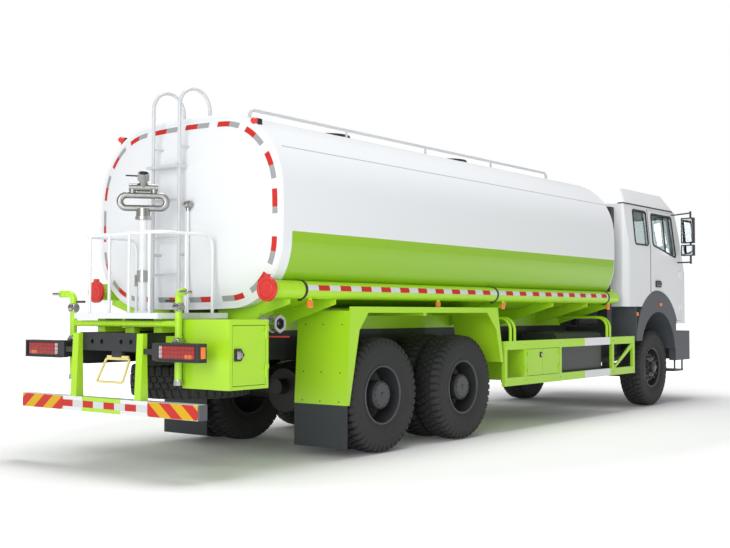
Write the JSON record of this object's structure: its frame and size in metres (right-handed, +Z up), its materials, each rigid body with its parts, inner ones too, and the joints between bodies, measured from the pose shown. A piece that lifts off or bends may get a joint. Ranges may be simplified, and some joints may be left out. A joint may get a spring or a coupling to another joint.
{
  "type": "water tanker truck",
  "caption": "Long forward-control water tanker truck with a rounded tank, side hose tubes, rear work platform with a water cannon, spray pipework and an opening, tilting cab.",
  "frame": {"origin": "on the ground under the middle of the overall length and width", "axes": "+X forward, +Y to the truck's left, +Z up"},
  "size_m": [10.5, 3, 3.469],
  "materials": {
    "intake_black": "matt black plastic",
    "flare_grey": "dark grey plastic",
    "axle_black": "black painted castings",
    "window_glass": "tinted glass",
    "cab_white": "gloss white",
    "lime_paint": "gloss lime green",
    "cannon_grey": "grey painted casting",
    "white_paint": "gloss white",
    "dash_plastic": "dark grey plastic",
    "engine_grey": "grey engine paint",
    "black_paint": "satin black chassis paint",
    "bumper_grey": "dark grey plastic",
    "trim_black": "black plastic",
    "tank_black": "matt black",
    "lamp_plastic": "lamp plastic",
    "lid_black": "white cover, black seal",
    "flap_rubber": "matt black rubber",
    "shaft_black": "black painted steel",
    "bumper_paint": "white and lime paint",
    "rim_black": "black rim paint",
    "seat_cloth": "dark cloth",
    "tyre": "matt black rubber",
    "spring_steel": "black spring steel",
    "tank_paint": "gloss white over lime green",
    "red_plastic": "glossy red plastic"
  },
  "bodies": {
    "chassis": {"air_intake": "intake_black", "axles": "axle_black", "cannon_standpipe": "white_paint", "engine": "engine_grey", "frame": "black_paint", "front_bumper": "bumper_grey", "fuel_tanks": "tank_black", "hose_tubes": "lime_paint", "ladder": "white_paint", "lamps": "lamp_plastic", "mud_flaps": "flap_rubber", "platform": "white_paint", "prop_shafts": "shaft_black", "rear_bumper": "bumper_paint", "rear_mudguards": "lime_paint", "side_cabinet": "lime_paint", "side_guards": "lime_paint", "spare_wheel": "tyre", "spray_pipework": "lime_paint", "springs": "spring_steel", "tank": "tank_paint", "tank_cradle": "lime_paint", "tank_rails": "white_paint", "tool_box": "lime_paint", "tube_caps": "red_plastic"},
    "cab": {"cab_shell": "cab_white", "cab_glass": "window_glass", "cab_roof": "cab_white", "front_trim": "trim_black", "arch_flares": "flare_grey", "seats": "seat_cloth", "dashboard": "dash_plastic"},
    "door_right": {"door_right": "cab_white", "door_glass_right": "window_glass", "mirror_right": "trim_black"},
    "door_left": {"door_left": "cab_white", "door_glass_left": "window_glass", "mirror_left": "trim_black"},
    "tool_box_door": {"tool_box_door": "lime_paint"},
    "cabinet_leaf_rear": {"cabinet_leaf_rear": "lime_paint"},
    "cabinet_leaf_front": {"cabinet_leaf_front": "lime_paint"},
    "manhole_lid_rear": {"manhole_lid_rear": "lid_black"},
    "manhole_lid_front": {"manhole_lid_front": "lid_black"},
    "cannon_swivel": {"cannon_swivel": "cannon_grey"},
    "cannon_barrel": {"cannon_barrel": "cannon_grey"},
    "knuckle_right": {"knuckle_right": "axle_black"},
    "knuckle_left": {"knuckle_left": "axle_black"},
    "tie_rod": {"tie_rod": "axle_black"},
    "wheel_front_right": {"tyre_front_right": "tyre", "rim_front_right": "rim_black"},
    "wheels_mid_right": {"tyres_mid_right": "tyre", "rims_mid_right": "rim_black"},
    "wheels_rear_right": {"tyres_rear_right": "tyre", "rims_rear_right": "rim_black"},
    "wheel_front_left": {"tyre_front_left": "tyre", "rim_front_left": "rim_black"},
    "wheels_mid_left": {"tyres_mid_left": "tyre", "rims_mid_left": "rim_black"},
    "wheels_rear_left": {"tyres_rear_left": "tyre", "rims_rear_left": "rim_black"}
  },
  "joints": [
    {"name": "cab_tilt", "type": "hinge", "parent": "chassis", "child": "cab", "pos_m": [5.03, 0, 1.14], "axis": [0, 1, 0], "range_deg": [0, 50]},
    {"name": "door_right_swing", "type": "hinge", "parent": "cab", "child": "door_right", "pos_m": [4.79, -1.2505, 1.8], "axis": [0, 0, 1], "range_deg": [0, 65]},
    {"name": "door_left_swing", "type": "hinge", "parent": "cab", "child": "door_left", "pos_m": [4.79, 1.2505, 1.8], "axis": [0, 0, -1], "range_deg": [0, 65]},
    {"name": "tool_box_door_swing", "type": "hinge", "parent": "chassis", "child": "tool_box_door", "pos_m": [-4.549, -1.254, 1], "axis": [0, 0, 1], "range_deg": [0, 110]},
    {"name": "cabinet_leaf_rear_swing", "type": "hinge", "parent": "chassis", "child": "cabinet_leaf_rear", "pos_m": [-0.036, -1.254, 0.775], "axis": [0, 0, -1], "range_deg": [0, 100]},
    {"name": "cabinet_leaf_front_swing", "type": "hinge", "parent": "chassis", "child": "cabinet_leaf_front", "pos_m": [0.77, -1.254, 0.775], "axis": [0, 0, 1], "range_deg": [0, 100]},
    {"name": "manhole_lid_rear_swing", "type": "hinge", "parent": "chassis", "child": "manhole_lid_rear", "pos_m": [-2.536, 0, 3.275], "axis": [0, -1, 0], "range_deg": [0, 100]},
    {"name": "manhole_lid_front_swing", "type": "hinge", "parent": "chassis", "child": "manhole_lid_front", "pos_m": [-0.156, 0, 3.275], "axis": [0, -1, 0], "range_deg": [0, 100]},
    {"name": "cannon_yaw", "type": "hinge", "parent": "chassis", "child": "cannon_swivel", "pos_m": [-4.825, 0, 2.245], "axis": [0, 0, 1], "range_deg": [-165, 70]},
    {"name": "cannon_elevate", "type": "hinge", "parent": "cannon_swivel", "child": "cannon_barrel", "pos_m": [-4.825, 0, 2.49], "axis": [-0.76, 0.65, 0], "range_deg": [-70, 20]},
    {"name": "steer_left", "type": "hinge", "parent": "chassis", "child": "knuckle_left", "pos_m": [3.89, 0.87, 0.562], "axis": [0, 0, 1], "range_deg": [-35, 35]},
    {"name": "steer_right", "type": "hinge", "parent": "chassis", "child": "knuckle_right", "pos_m": [3.89, -0.87, 0.562], "axis": [0, 0, 1], "range_deg": [-35, 35]},
    {"name": "tie_rod_pivot", "type": "hinge", "parent": "knuckle_left", "child": "tie_rod", "pos_m": [3.69, 0.87, 0.438], "axis": [0, 0, 1], "range_deg": [-35, 35]},
    {"name": "spin_front_right", "type": "hinge", "parent": "knuckle_right", "child": "wheel_front_right", "pos_m": [3.89, -1.008, 0.562], "axis": [0, 1, 0], "continuous": true},
    {"name": "spin_mid_right", "type": "hinge", "parent": "chassis", "child": "wheels_mid_right", "pos_m": [-1.37, -0.892, 0.562], "axis": [0, 1, 0], "continuous": true},
    {"name": "spin_rear_right", "type": "hinge", "parent": "chassis", "child": "wheels_rear_right", "pos_m": [-2.82, -0.892, 0.562], "axis": [0, 1, 0], "continuous": true},
    {"name": "spin_front_left", "type": "hinge", "parent": "knuckle_left", "child": "wheel_front_left", "pos_m": [3.89, 1.008, 0.562], "axis": [0, 1, 0], "continuous": true},
    {"name": "spin_mid_left", "type": "hinge", "parent": "chassis", "child": "wheels_mid_left", "pos_m": [-1.37, 0.892, 0.562], "axis": [0, 1, 0], "continuous": true},
    {"name": "spin_rear_left", "type": "hinge", "parent": "chassis", "child": "wheels_rear_left", "pos_m": [-2.82, 0.892, 0.562], "axis": [0, 1, 0], "continuous": true}
  ],
  "couplings": [
    {"joint": "steer_right", "follows": "steer_left", "ratio": 1},
    {"joint": "tie_rod_pivot", "follows": "steer_left", "ratio": -1}
  ]
}
